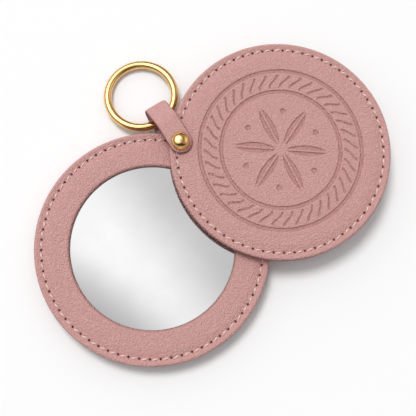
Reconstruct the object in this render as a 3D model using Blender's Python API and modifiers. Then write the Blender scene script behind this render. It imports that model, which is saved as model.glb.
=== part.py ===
"""Folding pocket mirror for a key ring.

Two round leather-covered discs, one holding a glass mirror and one serving as its cover, turn on a
single rivet near their rims. A leather strap is folded round a metal ring and riveted over both.

Frame: metres, +Z up. The origin is on the rivet's axis at the flat underside of its back cap, which
is the plane that the object lies on. Bearings are measured in plan from +X towards +Y.
"""

import math

import bmesh
import bpy
from mathutils import Vector

MM = 0.001

# Discs, in plan
MIRROR_RADIUS = 35.0 * MM
COVER_MARGIN = 1.5 * MM
MIRROR_PIVOT_INSET = 2.9 * MM
COVER_PIVOT_INSET = 3.3 * MM
MIRROR_BEARING = math.radians(-104.4)
COVER_BEARING = math.radians(-3.3)
STRAP_BEARING = math.radians(122.0)

# Leather skins and their seam
LEATHER = 0.9 * MM
RIM_ROUND = 1.1 * MM
PARTING_GAP = 0.1 * MM
STITCH_INSET = 2.2 * MM
CHANNEL_WIDTH = 0.8 * MM
CHANNEL_FLOOR_WIDTH = 0.6 * MM
CHANNEL_DEPTH = 0.5 * MM
THREAD_RADIUS = 0.2 * MM

# Mirror half, from its back to its face
BASE_BOARD = 0.8 * MM
ADHESIVE_PAD = 0.3 * MM
GLASS = 1.0 * MM
GLASS_RECESS = 1.1 * MM
GLASS_BEVEL = 0.25 * MM
FRAME_WIDTH = 10.5 * MM
LIP_ROUND = 0.5 * MM
GLASS_CLEARANCE = 0.3 * MM
PAD_INSET = 1.2 * MM

# Cover, from its lining to its face
COVER_BOARD = 1.0 * MM
FOAM_PAD = 0.5 * MM
OUTER_GROOVE_INSET = 9.0 * MM
INNER_GROOVE_INSET = 15.5 * MM
GROOVE_WIDTH = 1.0 * MM
GROOVE_DEPTH = 0.3 * MM

# Strap
STRAP_THICKNESS = 1.1 * MM
STRAP_WIDTH = 7.0 * MM
FOLD_INNER_RADIUS = 2.6 * MM
SHOULDER_INNER_RADIUS = 3.5 * MM
SHOULDER_RUN = 1.75 * MM

# Rivet
CAP_METAL = 0.3 * MM
FLANGE = 0.2 * MM
BACK_CAP_RADIUS = 3.2 * MM
BACK_CAP_EDGE = 0.3 * MM
FRONT_CAP_RADIUS = 2.8 * MM
DOME_RISE = 1.3 * MM
POST_RADIUS = 0.9 * MM
SOCKET_WALL = 0.35 * MM
CAP_LIP = 0.9 * MM

# Ring
RING_RADIUS = 10.4 * MM
WIRE_RADIUS = 1.25 * MM
RIM_TO_RING = 3.9 * MM
RING_SLACK = 2.5 * MM
RING_BEARING = math.radians(130.0)

# Clearances
GLUE_LINE = 0.1 * MM
RUNNING_GAP = 0.15 * MM
METAL_GAP = 0.1 * MM
CUT_OVERRUN = 2.0 * MM

# Facets
DISC_STEPS = 60
RIVET_STEPS = 24
RING_STEPS = 48
WIRE_STEPS = 10
THREAD_STEPS = 4
CORNER_STEPS = 3
DOME_STEPS = 5
FOLD_STEPS = 10
SHOULDER_STEPS = 5
MERGE_DISTANCE = 0.005 * MM

# Derived places in plan
COVER_RADIUS = MIRROR_RADIUS - COVER_MARGIN
MIRROR_REACH = MIRROR_RADIUS - MIRROR_PIVOT_INSET
COVER_REACH = COVER_RADIUS - COVER_PIVOT_INSET
OPENING_RADIUS = MIRROR_RADIUS - FRAME_WIDTH
OUTER_GROOVE_RADIUS = COVER_RADIUS - OUTER_GROOVE_INSET
INNER_GROOVE_RADIUS = COVER_RADIUS - INNER_GROOVE_INSET
CORE_INSET = LEATHER + GLUE_LINE
COVER_TO_STRAP = STRAP_BEARING - COVER_BEARING
RIM_REACH = COVER_REACH * math.cos(COVER_TO_STRAP) + math.sqrt(
    COVER_RADIUS**2 - (COVER_REACH * math.sin(COVER_TO_STRAP)) ** 2
)
SHOULDER_START = RIM_REACH + SHOULDER_RUN
RING_SEAT = RIM_REACH + RIM_TO_RING + WIRE_RADIUS
STRAP_REACH = RING_SEAT + WIRE_RADIUS + RING_SLACK + STRAP_THICKNESS
SOCKET_INNER = POST_RADIUS + METAL_GAP
SOCKET_OUTER = SOCKET_INNER + SOCKET_WALL
BORE_RADIUS = SOCKET_OUTER + METAL_GAP

# Derived heights, from the table up
CAP_DEPTH = CAP_METAL + METAL_GAP + FLANGE + METAL_GAP + CAP_METAL
LOWER_LEG_BASE = CAP_DEPTH + GLUE_LINE
MIRROR_BASE = LOWER_LEG_BASE + STRAP_THICKNESS + RUNNING_GAP
MIRROR_THICKNESS = (
    LEATHER + GLUE_LINE + BASE_BOARD + GLUE_LINE + ADHESIVE_PAD + GLUE_LINE + GLASS + GLASS_RECESS
)
COVER_BASE = MIRROR_BASE + MIRROR_THICKNESS + RUNNING_GAP
COVER_THICKNESS = 2 * LEATHER + 3 * GLUE_LINE + COVER_BOARD + FOAM_PAD
UPPER_LEG_BASE = COVER_BASE + COVER_THICKNESS + RUNNING_GAP
FRONT_CAP_BASE = UPPER_LEG_BASE + STRAP_THICKNESS + GLUE_LINE
STACK_TOP = FRONT_CAP_BASE + CAP_DEPTH + DOME_RISE


def arc(centre, radius, start_deg, end_deg, steps):
    """Points of an arc in a plane, from one angle to another."""
    points = []
    for i in range(steps + 1):
        angle = math.radians(start_deg + (end_deg - start_deg) * i / steps)
        points.append((centre[0] + radius * math.cos(angle), centre[1] + radius * math.sin(angle)))
    return points


def make_material(name, colour, roughness, metallic=0.0):
    material = bpy.data.materials.new(name)
    material.use_nodes = True
    shader = material.node_tree.nodes["Principled BSDF"]
    shader.inputs["Base Color"].default_value = (*colour, 1.0)
    shader.inputs["Roughness"].default_value = roughness
    shader.inputs["Metallic"].default_value = metallic
    material.diffuse_color = (*colour, 1.0)
    return material


class Bench:
    """Holds the collections and makes the pieces."""

    def __init__(self):
        for old in list(bpy.data.objects):
            bpy.data.objects.remove(old, do_unlink=True)
        self.parts = self.collection("folding_key_mirror")
        self.cutters = self.collection("cutters")

    def collection(self, name):
        group = bpy.data.collections.new(name)
        bpy.context.scene.collection.children.link(group)
        return group

    def pivot(self, name, location, bearing):
        empty = bpy.data.objects.new(name, None)
        empty.location = location
        empty.rotation_euler = (0, 0, bearing)
        self.parts.objects.link(empty)
        return empty

    def add(self, name, mesh, material, parent=None, location=(0, 0, 0)):
        piece = bpy.data.objects.new(name, mesh)
        piece.location = location
        piece.parent = parent
        self.parts.objects.link(piece)
        mesh.materials.append(material)
        mesh.polygons.foreach_set("use_smooth", [True] * len(mesh.polygons))
        mesh.set_sharp_from_angle(angle=math.radians(35))
        return piece

    def turned(self, name, outline, steps, material, parent=None, location=(0, 0, 0), closed=True):
        """A turned piece. The outline runs down its outer side, in radius and height."""
        mesh = bpy.data.meshes.new(name)
        links = [(i, i + 1) for i in range(len(outline) - 1)]
        if closed:
            links.append((len(outline) - 1, 0))
        mesh.from_pydata([(radius, 0, height) for radius, height in outline], links, [])
        piece = self.add(name, mesh, material, parent, location)
        screw = piece.modifiers.new("turn", "SCREW")
        screw.steps = steps
        screw.render_steps = steps
        screw.use_merge_vertices = True
        screw.merge_threshold = MERGE_DISTANCE
        screw.use_smooth_shade = True
        return piece

    def torus(self, name, radii, steps, material, parent=None, location=(0, 0, 0)):
        bpy.ops.mesh.primitive_torus_add(
            major_radius=radii[0], minor_radius=radii[1], major_segments=steps[0], minor_segments=steps[1]
        )
        made = bpy.context.object
        mesh = made.data
        bpy.data.objects.remove(made, do_unlink=True)
        mesh.name = name
        return self.add(name, mesh, material, parent, location)

    def prism(self, name, outline, low, high, across=False):
        """A closed prism of an outline, along Z, or along Y where the outline is in X and Z."""
        shape = bmesh.new()
        if across:
            ring = [shape.verts.new((x, low, z)) for x, z in outline]
            lift = Vector((0, high - low, 0))
        else:
            ring = [shape.verts.new((x, y, low)) for x, y in outline]
            lift = Vector((0, 0, high - low))
        base = shape.faces.new(ring)
        grown = bmesh.ops.extrude_face_region(shape, geom=[base])
        top = [item for item in grown["geom"] if isinstance(item, bmesh.types.BMVert)]
        bmesh.ops.translate(shape, vec=lift, verts=top)
        bmesh.ops.recalc_face_normals(shape, faces=shape.faces)
        mesh = bpy.data.meshes.new(name)
        shape.to_mesh(mesh)
        shape.free()
        return mesh

    def cutter(self, name, mesh):
        tool = bpy.data.objects.new(name, mesh)
        tool.hide_render = True
        tool.display_type = "WIRE"
        self.cutters.objects.link(tool)
        return tool

    def cut(self, pieces, tool, operation="DIFFERENCE"):
        for piece in pieces:
            boolean = piece.modifiers.new(tool.name, "BOOLEAN")
            boolean.operation = operation
            boolean.object = tool
            boolean.solver = "EXACT"


def disc(radius, low, high):
    """Outline of a plain disc that reaches the axis."""
    return [(0, high), (radius, high), (radius, low), (0, low)]


def channel_down(radius, face, side):
    """Stitch channel in a face of a disc; side is 1 on an upper face and -1 on a lower one."""
    seam = radius - STITCH_INSET
    wide = CHANNEL_WIDTH / 2
    narrow = CHANNEL_FLOOR_WIDTH / 2
    floor = face - side * CHANNEL_DEPTH
    return [(seam - wide, face), (seam - narrow, floor), (seam + narrow, floor), (seam + wide, face)]


def upper_rim(radius, top, parting):
    """Rounded rim and skirt of an upper skin, down to the parting line and back inside."""
    centre = (radius - RIM_ROUND, top - RIM_ROUND)
    edge = parting + PARTING_GAP / 2
    return arc(centre, RIM_ROUND, 90, 0, CORNER_STEPS) + [(radius, edge), (radius - LEATHER, edge)]


def lower_rim(radius, base, parting):
    """Skirt and rounded rim of a lower skin, from the parting line down."""
    centre = (radius - RIM_ROUND, base + RIM_ROUND)
    edge = parting - PARTING_GAP / 2
    return [(radius - LEATHER, edge), (radius, edge)] + arc(centre, RIM_ROUND, 0, -90, CORNER_STEPS)


def lower_skin(radius, base, parting):
    """A dished skin that closes the back of a disc."""
    floor = base + LEATHER
    inside = [(0, floor), (radius - LEATHER, floor)]
    underside = list(reversed(channel_down(radius, base, -1)))
    return inside + lower_rim(radius, base, parting) + underside + [(0, base)]


def groove(radius, face):
    """A shallow pressed groove, from its inner edge to its outer one."""
    half = GROOVE_WIDTH / 2
    return [(radius - half, face), (radius, face - GROOVE_DEPTH), (radius + half, face)]


def build_mirror_half(bench, paint):
    """Leather case with a round window, stiff boards inside it, and the glass in its well."""
    pivot = bench.pivot("mirror_half_pivot", (0, 0, 0), MIRROR_BEARING)
    centre = (MIRROR_REACH, 0, 0)
    base = MIRROR_BASE
    top = base + MIRROR_THICKNESS
    parting = base + MIRROR_THICKNESS / 2
    board_base = base + LEATHER + GLUE_LINE
    well_floor = board_base + BASE_BOARD + GLUE_LINE
    glass_base = well_floor + ADHESIVE_PAD + GLUE_LINE
    glass_top = glass_base + GLASS
    glass_radius = OPENING_RADIUS - GLASS_CLEARANCE
    lip_outer = OPENING_RADIUS + LEATHER
    skin = top - LEATHER
    core = MIRROR_RADIUS - CORE_INSET

    lip = arc((OPENING_RADIUS + LIP_ROUND, top - LIP_ROUND), LIP_ROUND, 180, 90, CORNER_STEPS)
    front = lip + channel_down(MIRROR_RADIUS, top, 1) + upper_rim(MIRROR_RADIUS, top, parting)
    front += [(MIRROR_RADIUS - LEATHER, skin), (lip_outer, skin), (lip_outer, well_floor)]
    front += [(OPENING_RADIUS, well_floor)]
    ring_top = skin - GLUE_LINE
    ring_inner = lip_outer + GLUE_LINE
    frame = [(ring_inner, ring_top), (core, ring_top), (core, well_floor), (ring_inner, well_floor)]
    glass = [(0, glass_top), (glass_radius - GLASS_BEVEL, glass_top), (glass_radius, glass_top - GLASS_BEVEL)]
    glass += [(glass_radius, glass_base), (0, glass_base)]

    def turned(name, outline, colour, closed=True):
        return bench.turned(name, outline, DISC_STEPS, paint[colour], pivot, centre, closed)

    pad = disc(glass_radius - PAD_INSET, well_floor, well_floor + ADHESIVE_PAD)
    seam = (MIRROR_RADIUS - STITCH_INSET, THREAD_RADIUS)
    steps = (DISC_STEPS, THREAD_STEPS)
    sink = CHANNEL_DEPTH / 2
    upper = (MIRROR_REACH, 0, top - sink)
    lower = (MIRROR_REACH, 0, base + sink)
    drilled = [
        turned("mirror_back_leather", lower_skin(MIRROR_RADIUS, base, parting), "leather", False),
        turned("mirror_base_board", disc(core, board_base, board_base + BASE_BOARD), "board", False),
        turned("mirror_board_ring", frame, "board"),
        turned("mirror_front_leather", front, "leather"),
        bench.torus("mirror_seam_top_thread", seam, steps, paint["thread"], pivot, upper),
        bench.torus("mirror_seam_bobbin_thread", seam, steps, paint["thread"], pivot, lower),
    ]
    turned("mirror_adhesive_pad", pad, "adhesive", False)
    turned("mirror_glass", glass, "mirror", False)
    return drilled


def build_cover(bench, paint):
    """Leather disc over a stiff board, with a thin foam pad under the pressed face."""
    pivot = bench.pivot("cover_pivot", (0, 0, 0), COVER_BEARING)
    centre = (COVER_REACH, 0, 0)
    base = COVER_BASE
    top = base + COVER_THICKNESS
    parting = base + COVER_THICKNESS / 2
    board_base = base + LEATHER + GLUE_LINE
    foam_base = board_base + COVER_BOARD + GLUE_LINE
    skin = top - LEATHER
    core = COVER_RADIUS - CORE_INSET

    front = [(0, top)] + groove(INNER_GROOVE_RADIUS, top) + groove(OUTER_GROOVE_RADIUS, top)
    front += channel_down(COVER_RADIUS, top, 1) + upper_rim(COVER_RADIUS, top, parting)
    front += [(COVER_RADIUS - LEATHER, skin), (0, skin)]

    def turned(name, outline, colour):
        return bench.turned(name, outline, DISC_STEPS, paint[colour], pivot, centre, False)

    seam = (COVER_RADIUS - STITCH_INSET, THREAD_RADIUS)
    steps = (DISC_STEPS, THREAD_STEPS)
    sink = CHANNEL_DEPTH / 2
    upper = (COVER_REACH, 0, top - sink)
    lower = (COVER_REACH, 0, base + sink)
    return [
        turned("cover_lining_leather", lower_skin(COVER_RADIUS, base, parting), "leather"),
        turned("cover_board", disc(core, board_base, board_base + COVER_BOARD), "board"),
        turned("cover_foam_pad", disc(core, foam_base, foam_base + FOAM_PAD), "foam"),
        turned("cover_front_leather", front, "leather"),
        bench.torus("cover_seam_top_thread", seam, steps, paint["thread"], pivot, upper),
        bench.torus("cover_seam_bobbin_thread", seam, steps, paint["thread"], pivot, lower),
    ]


def strap_path(offset):
    """Side view of the strap at an offset from its middle, from its lower end round to its upper.

    The lower leg runs flat to the fold, the fold wraps back, a straight slope climbs to the
    shoulder over the cover's rim, and the upper leg runs flat to the rivet.
    """
    middle = STRAP_THICKNESS / 2
    fold = FOLD_INNER_RADIUS + middle
    shoulder = SHOULDER_INNER_RADIUS + middle
    fold_centre = (STRAP_REACH - fold - middle, LOWER_LEG_BASE + middle + fold)
    shoulder_centre = (SHOULDER_START, UPPER_LEG_BASE + middle - shoulder)
    run = fold_centre[0] - shoulder_centre[0]
    rise = shoulder_centre[1] - fold_centre[1]
    lean = math.atan2(run, rise) + math.asin((fold - shoulder) / math.hypot(run, rise))
    leave = math.degrees(lean)
    end = -STRAP_WIDTH / 2 - CUT_OVERRUN
    points = [(end, LOWER_LEG_BASE + middle - offset)]
    points += arc(fold_centre, fold + offset, -90, leave, FOLD_STEPS)
    points += arc(shoulder_centre, shoulder + offset, leave, 90, SHOULDER_STEPS)
    points += [(end, UPPER_LEG_BASE + middle + offset)]
    return points


def build_strap(bench, paint, pivot):
    """One band of leather, folded round the ring's wire, with round ends under the rivet's caps."""
    half = STRAP_THICKNESS / 2
    side = strap_path(half) + list(reversed(strap_path(-half)))
    mesh = bench.prism("strap_loop", side, -STRAP_WIDTH / 2, STRAP_WIDTH / 2, across=True)
    strap = bench.add("strap_loop", mesh, paint["leather"], pivot)

    far = STRAP_REACH + CUT_OVERRUN
    wide = STRAP_WIDTH / 2
    plan = arc((0, 0), wide, 90, 270, RIVET_STEPS // 2)
    plan = [(far, wide + CUT_OVERRUN), (0, wide + CUT_OVERRUN)] + plan
    plan += [(0, -wide - CUT_OVERRUN), (far, -wide - CUT_OVERRUN)]
    trim_mesh = bench.prism("strap_outline", plan, -CUT_OVERRUN, STACK_TOP + CUT_OVERRUN)
    trim = bench.cutter("strap_outline", trim_mesh)
    trim.parent = pivot
    bench.cut([strap], trim, "INTERSECT")
    return strap


def build_rivet(bench, paint, pivot):
    """Double-cap rivet: a domed cap on a flanged socket, and a flat cap on a flanged post."""
    brass = paint["brass"]
    lip_inner = FRONT_CAP_RADIUS - CAP_LIP
    flange_radius = FRONT_CAP_RADIUS - CAP_METAL - METAL_GAP
    foot = FRONT_CAP_BASE
    band = foot + CAP_DEPTH
    flange_base = foot + CAP_METAL + METAL_GAP
    half = FRONT_CAP_RADIUS
    dome_radius = (half * half + DOME_RISE * DOME_RISE) / (2 * DOME_RISE)
    centre = (0, band + DOME_RISE - dome_radius)
    brim = math.degrees(math.acos(half / dome_radius))
    inner_radius = dome_radius - CAP_METAL
    inner_half = half - CAP_METAL
    inner_brim = math.degrees(math.acos(inner_half / inner_radius))

    front = arc(centre, dome_radius, 90, brim, DOME_STEPS)
    front += [(half, foot), (lip_inner, foot), (lip_inner, foot + CAP_METAL)]
    front += [(inner_half, foot + CAP_METAL)]
    front += arc(centre, inner_radius, inner_brim, 90, DOME_STEPS)
    bench.turned("rivet_front_cap", front, RIVET_STEPS, brass, pivot, closed=False)

    tube_end = CAP_DEPTH + METAL_GAP
    socket = [(SOCKET_INNER, flange_base + FLANGE), (flange_radius, flange_base + FLANGE)]
    socket += [(flange_radius, flange_base), (SOCKET_OUTER, flange_base)]
    socket += [(SOCKET_OUTER, tube_end), (SOCKET_INNER, tube_end)]
    bench.turned("rivet_socket", socket, RIVET_STEPS, brass, pivot)

    post_base = CAP_METAL + METAL_GAP
    post_flange = BACK_CAP_RADIUS - CAP_METAL - METAL_GAP
    post = [(0, flange_base + FLANGE), (POST_RADIUS, flange_base + FLANGE)]
    post += [(POST_RADIUS, post_base + FLANGE), (post_flange, post_base + FLANGE)]
    post += [(post_flange, post_base), (0, post_base)]
    bench.turned("rivet_post", post, RIVET_STEPS, brass, pivot, closed=False)

    corner = (BACK_CAP_RADIUS - BACK_CAP_EDGE, BACK_CAP_EDGE)
    back_lip = BACK_CAP_RADIUS - CAP_LIP
    shell = BACK_CAP_RADIUS - CAP_METAL
    back = [(0, CAP_METAL), (shell, CAP_METAL), (shell, CAP_DEPTH - CAP_METAL)]
    back += [(back_lip, CAP_DEPTH - CAP_METAL), (back_lip, CAP_DEPTH)]
    back += [(BACK_CAP_RADIUS, CAP_DEPTH)]
    back += arc(corner, BACK_CAP_EDGE, 0, -90, CORNER_STEPS) + [(0, 0)]
    bench.turned("rivet_back_cap", back, RIVET_STEPS, brass, pivot, closed=False)


def build_ring(bench, paint):
    """Closed round-wire ring. Its near side rests in the fold and its far side on the table."""
    seat_height = LOWER_LEG_BASE + STRAP_THICKNESS + METAL_GAP + WIRE_RADIUS
    drop = math.asin((seat_height - WIRE_RADIUS) / (2 * RING_RADIUS))
    seat = Vector((math.cos(STRAP_BEARING), math.sin(STRAP_BEARING), 0)) * RING_SEAT
    seat.z = seat_height
    pivot = bench.pivot("key_ring_pivot", seat, RING_BEARING)
    pivot.rotation_euler = (0, drop, RING_BEARING)
    radii = (RING_RADIUS, WIRE_RADIUS)
    steps = (RING_STEPS, WIRE_STEPS)
    bench.torus("key_ring", radii, steps, paint["brass"], pivot, (RING_RADIUS, 0, 0))


def build():
    bench = Bench()
    paint = {
        "leather": make_material("rose_leather", (0.60, 0.33, 0.30), 0.55),
        "thread": make_material("pale_pink_thread", (0.78, 0.55, 0.53), 0.7),
        "board": make_material("grey_board", (0.40, 0.38, 0.35), 0.9),
        "foam": make_material("white_foam", (0.85, 0.85, 0.83), 0.9),
        "adhesive": make_material("clear_adhesive", (0.75, 0.75, 0.72), 0.6),
        "mirror": make_material("silvered_glass", (0.85, 0.86, 0.87), 0.02, 1.0),
        "brass": make_material("polished_brass", (0.80, 0.58, 0.25), 0.18, 1.0),
    }
    drilled = build_mirror_half(bench, paint) + build_cover(bench, paint)
    strap_pivot = bench.pivot("pivot_strap", (0, 0, 0), STRAP_BEARING)
    drilled.append(build_strap(bench, paint, strap_pivot))
    build_rivet(bench, paint, strap_pivot)
    build_ring(bench, paint)

    hole = arc((0, 0), BORE_RADIUS, 0, 360, RIVET_STEPS)[:-1]
    bore_mesh = bench.prism("pivot_bore", hole, -CUT_OVERRUN, STACK_TOP + CUT_OVERRUN)
    bench.cut(drilled, bench.cutter("pivot_bore", bore_mesh))


if __name__ == "__main__":
    build()
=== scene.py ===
"""Looks of a folding pocket mirror for a key ring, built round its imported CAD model.

Two leather-covered discs turn on one rivet. A strap is folded round a polished ring and held by the
same rivet. All places are in metres in the CAD model's own frame.
"""

import logging
import math
from dataclasses import dataclass, field
from enum import Enum
from functools import partial
from typing import Any, Callable, Sequence

import bmesh
import bpy
import numpy as np
from mathutils import Matrix, Vector


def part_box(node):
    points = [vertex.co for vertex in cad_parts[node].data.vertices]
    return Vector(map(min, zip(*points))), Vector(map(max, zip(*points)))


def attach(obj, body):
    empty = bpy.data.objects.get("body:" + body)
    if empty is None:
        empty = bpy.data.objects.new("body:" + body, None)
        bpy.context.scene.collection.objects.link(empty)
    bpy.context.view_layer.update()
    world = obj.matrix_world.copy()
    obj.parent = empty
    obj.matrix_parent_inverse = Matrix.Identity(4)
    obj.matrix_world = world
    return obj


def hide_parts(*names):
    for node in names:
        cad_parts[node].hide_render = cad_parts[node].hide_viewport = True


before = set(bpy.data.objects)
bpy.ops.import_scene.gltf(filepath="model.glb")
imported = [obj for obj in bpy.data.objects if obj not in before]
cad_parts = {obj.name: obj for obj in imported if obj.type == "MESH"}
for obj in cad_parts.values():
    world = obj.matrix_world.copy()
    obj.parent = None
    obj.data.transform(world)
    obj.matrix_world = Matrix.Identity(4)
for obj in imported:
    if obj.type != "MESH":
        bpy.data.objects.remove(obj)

MM = 0.001
TURN = 2 * math.pi
QUARTER = math.pi / 2
# Corners that turn more than this stay sharp in the shading
SHARP = math.radians(38)
BORE_SIDES = 48
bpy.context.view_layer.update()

# Kinds and settings of the nodes that are used more than once
MATH = "ShaderNodeMath"
VECTOR = "ShaderNodeVectorMath"
SPAN = "ShaderNodeMapRange"
MIX = "ShaderNodeMix"
COMBINE = "ShaderNodeCombineXYZ"
COORDINATES = "ShaderNodeTexCoord"
NOISE = "ShaderNodeTexNoise"
RAMP = "ShaderNodeValToRGB"
BUMP = "ShaderNodeBump"
PRINCIPLED = "ShaderNodeBsdfPrincipled"
CIRCLE = "GeometryNodeCurvePrimitiveCircle"
COLOURS = {"data_type": "RGBA"}
SMOOTH = {"interpolation_type": "SMOOTHSTEP"}
WHITE = "FFFFFF"

log = logging.getLogger("folding_key_mirror")

Socket = bpy.types.NodeSocket
AddNode = Callable[..., Socket]
Relief = Callable[[np.ndarray, np.ndarray], tuple[np.ndarray, np.ndarray]]


# Helpers for colours, nodes and meshes


def linear(hex_colour: str) -> tuple[float, ...]:
    """Turns six sRGB hex digits into the linear colour, with a full alpha, that shaders take."""
    parts = [int(hex_colour[i : i + 2], 16) / 255 for i in (0, 2, 4)]
    return (*[p / 12.92 if p <= 0.04045 else ((p + 0.055) / 1.055) ** 2.4 for p in parts], 1.0)


def add_node(
    tree: bpy.types.NodeTree,
    kind: str,
    settings: str | dict[str, Any] | None = None,
    inputs: Sequence[Any] | dict[Any, Any] = (),
    output: int | str = 0,
) -> Socket | None:
    """Adds one node with its settings and links.

    Args:
        tree: Node tree of a material, the world or a geometry group.
        kind: Blender's name for the node type.
        settings: The node's operation, or its properties by name. A ramp's stops are its places
            from 0 to 1 with their sRGB hex colours.
        inputs: Values, or sockets to link from, in the order of the inputs or by name or number.
        output: Name or number of the output that is wanted.

    Returns:
        That output, if the node has any.
    """
    node = tree.nodes.new(kind)
    if isinstance(settings, str):
        settings = {"operation": settings}
    for name, value in (settings or {}).items():
        if name == "stops":
            elements = node.color_ramp.elements
            while len(elements) < len(value):
                elements.new(0.5)
            for element, (place, colour) in zip(elements, value):
                element.position, element.color = place, linear(colour)
        else:
            setattr(node, name, value)
    for key, value in inputs.items() if isinstance(inputs, dict) else enumerate(inputs):
        if isinstance(value, Socket):
            tree.links.new(value, node.inputs[key])
        else:
            node.inputs[key].default_value = value
    return node.outputs[output] if node.outputs else None


def shade(owner: Any, output: str, shader: Callable[[AddNode], Socket]) -> Any:
    """Gives a material or a world its nodes.

    Args:
        owner: The new material or world.
        output: Kind of its output node.
        shader: Adds its nodes with the function given, and returns the last shader's socket.

    Returns:
        The owner.
    """
    owner.use_nodes = True
    owner.node_tree.nodes.clear()
    add = partial(add_node, owner.node_tree)
    add(output, None, {"Surface": shader(add)})
    return owner


def make_material(name: str, shader: Callable[[AddNode], Socket]) -> bpy.types.Material:
    """Makes a material whose nodes the shader function adds."""
    return shade(bpy.data.materials.new(name), "ShaderNodeOutputMaterial", shader)


def link_object(name: str, data: bpy.types.ID) -> bpy.types.Object:
    """Makes an object and puts it in the scene.

    Args:
        name: Name of the object.
        data: Its mesh, lamp or camera.

    Returns:
        The object.
    """
    made = bpy.data.objects.new(name, data)
    bpy.context.scene.collection.objects.link(made)
    return made


def shape_object(name: str, shape: bmesh.types.BMesh) -> bpy.types.Object:
    """Makes a mesh object of a shape and frees the shape.

    Args:
        name: Name of the object.
        shape: Its shape.

    Returns:
        The object.
    """
    mesh = bpy.data.meshes.new(name)
    shape.to_mesh(mesh)
    shape.free()
    return link_object(name, mesh)


def link_piece(name: str, mesh: bpy.types.Mesh, material: bpy.types.Material) -> bpy.types.Object:
    """Puts a finished mesh in the scene as one smooth piece with sharp corners.

    Args:
        name: Name of the piece.
        mesh: Its mesh, with its place in its points.
        material: Its material, unless the mesh has some.

    Returns:
        The piece.
    """
    if not mesh.materials:
        mesh.materials.append(material)
    mesh.shade_smooth()
    mesh.set_sharp_from_angle(angle=SHARP)
    return link_object(name, mesh)


def seat(piece: bpy.types.Object, body: str, slot: str, *nodes: str) -> None:
    """Rides a piece on its body and hides the CAD nodes that it stands for.

    Args:
        piece: The finished piece.
        body: CAD body that it moves with.
        slot: Material slot; not used.
        nodes: CAD nodes that it replaces.
    """
    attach(piece, body)
    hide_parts(*nodes)
    log.info("%s rides on %s, %d faces", piece.name, body, len(piece.data.polygons))


def bake_modifiers(piece: bpy.types.Object) -> None:
    """Turns a piece with modifiers into a plain mesh and removes the modifiers.

    Args:
        piece: The piece.
    """
    graph = bpy.context.evaluated_depsgraph_get()
    graph.update()
    made = bpy.data.meshes.new_from_object(piece.evaluated_get(graph), depsgraph=graph)
    piece.modifiers.clear()
    old, piece.data = piece.data, made
    bpy.data.meshes.remove(old)
    made.name = piece.name


def cut_bore(piece: bpy.types.Object, radius: float, low: float, high: float) -> None:
    """Cuts the rivet's bore, which stands on the origin, through a piece.

    Args:
        piece: Closed mesh piece.
        radius: Radius of the bore.
        low: Lower end of the cutter.
        high: Upper end of the cutter.
    """
    shape = bmesh.new()
    sizes = {"segments": BORE_SIDES, "radius1": radius, "radius2": radius, "depth": high - low}
    bmesh.ops.create_cone(shape, cap_ends=True, **sizes)
    bmesh.ops.translate(shape, vec=(0, 0, (low + high) / 2), verts=shape.verts)
    cutter = shape_object("bore_cutter", shape)
    boolean = piece.modifiers.new("bore", "BOOLEAN")
    boolean.operation, boolean.object, boolean.solver = "DIFFERENCE", cutter, "EXACT"
    bake_modifiers(piece)
    bpy.data.objects.remove(cutter, do_unlink=True)


# Turned skins


@dataclass(frozen=True)
class Row:
    """One ring of points of a turned skin, how far its relief presses it, and its least stain and
    painted shade.
    """

    radius: float
    height: float
    count: int
    pressed: int = 0
    stain: float = 0.0


def turned_mesh(
    name: str, rows: Sequence[Row], centre: Vector, relief: Relief | None = None, start: float = 0.0
) -> bpy.types.Mesh:
    """Makes a closed turned mesh from rings that may double or halve their point count.

    The rings run outwards over an upper face and down the outer side. A first or last ring with no
    radius closes the skin at its axis; otherwise the last ring joins the first.

    Args:
        name: Name of the mesh.
        rows: Rings along the outline.
        centre: Place of the axis in plan.
        relief: Depth, stain and painted shade pressed into the face, from radius and angle.
        start: Bearing of every ring's first point, from which the relief counts its angles.

    Returns:
        The mesh, with a point attribute that holds the stain and painted shade from 0 to 1.
    """
    points, stains_and_shade, starts, counts = [], [], [], []
    for row in rows:
        count = 1 if row.radius == 0 else row.count
        starts.append(sum(counts))
        counts.append(count)
        angle = np.arange(count) * (TURN / count)
        depth, stain = np.zeros(count), np.zeros(count)
        if relief is not None:
            depth, stain = relief(np.full(count, row.radius), angle)
        ring = np.empty((count, 3))
        ring[:, 0] = centre.x + row.radius * np.cos(angle + start)
        ring[:, 1] = centre.y + row.radius * np.sin(angle + start)
        ring[:, 2] = row.height - row.pressed * depth
        points.append(ring)
        stains_and_shade.append(np.maximum(stain, row.stain))
    faces: list[tuple[int, ...]] = []
    for here in range(len(rows) - (rows[0].radius == 0)):
        there = (here + 1) % len(rows)
        faces += ring_faces(starts[here], counts[here], starts[there], counts[there])
    mesh = bpy.data.meshes.new(name)
    mesh.from_pydata(np.concatenate(points).tolist(), [], faces)
    # This attribute holds real burnish and painted shade: dark needle holes, shaded side walls and
    # edges
    stain = mesh.attributes.new("stain", "FLOAT", "POINT")
    stain.data.foreach_set("value", np.concatenate(stains_and_shade).astype(np.float32))
    return mesh


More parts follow.
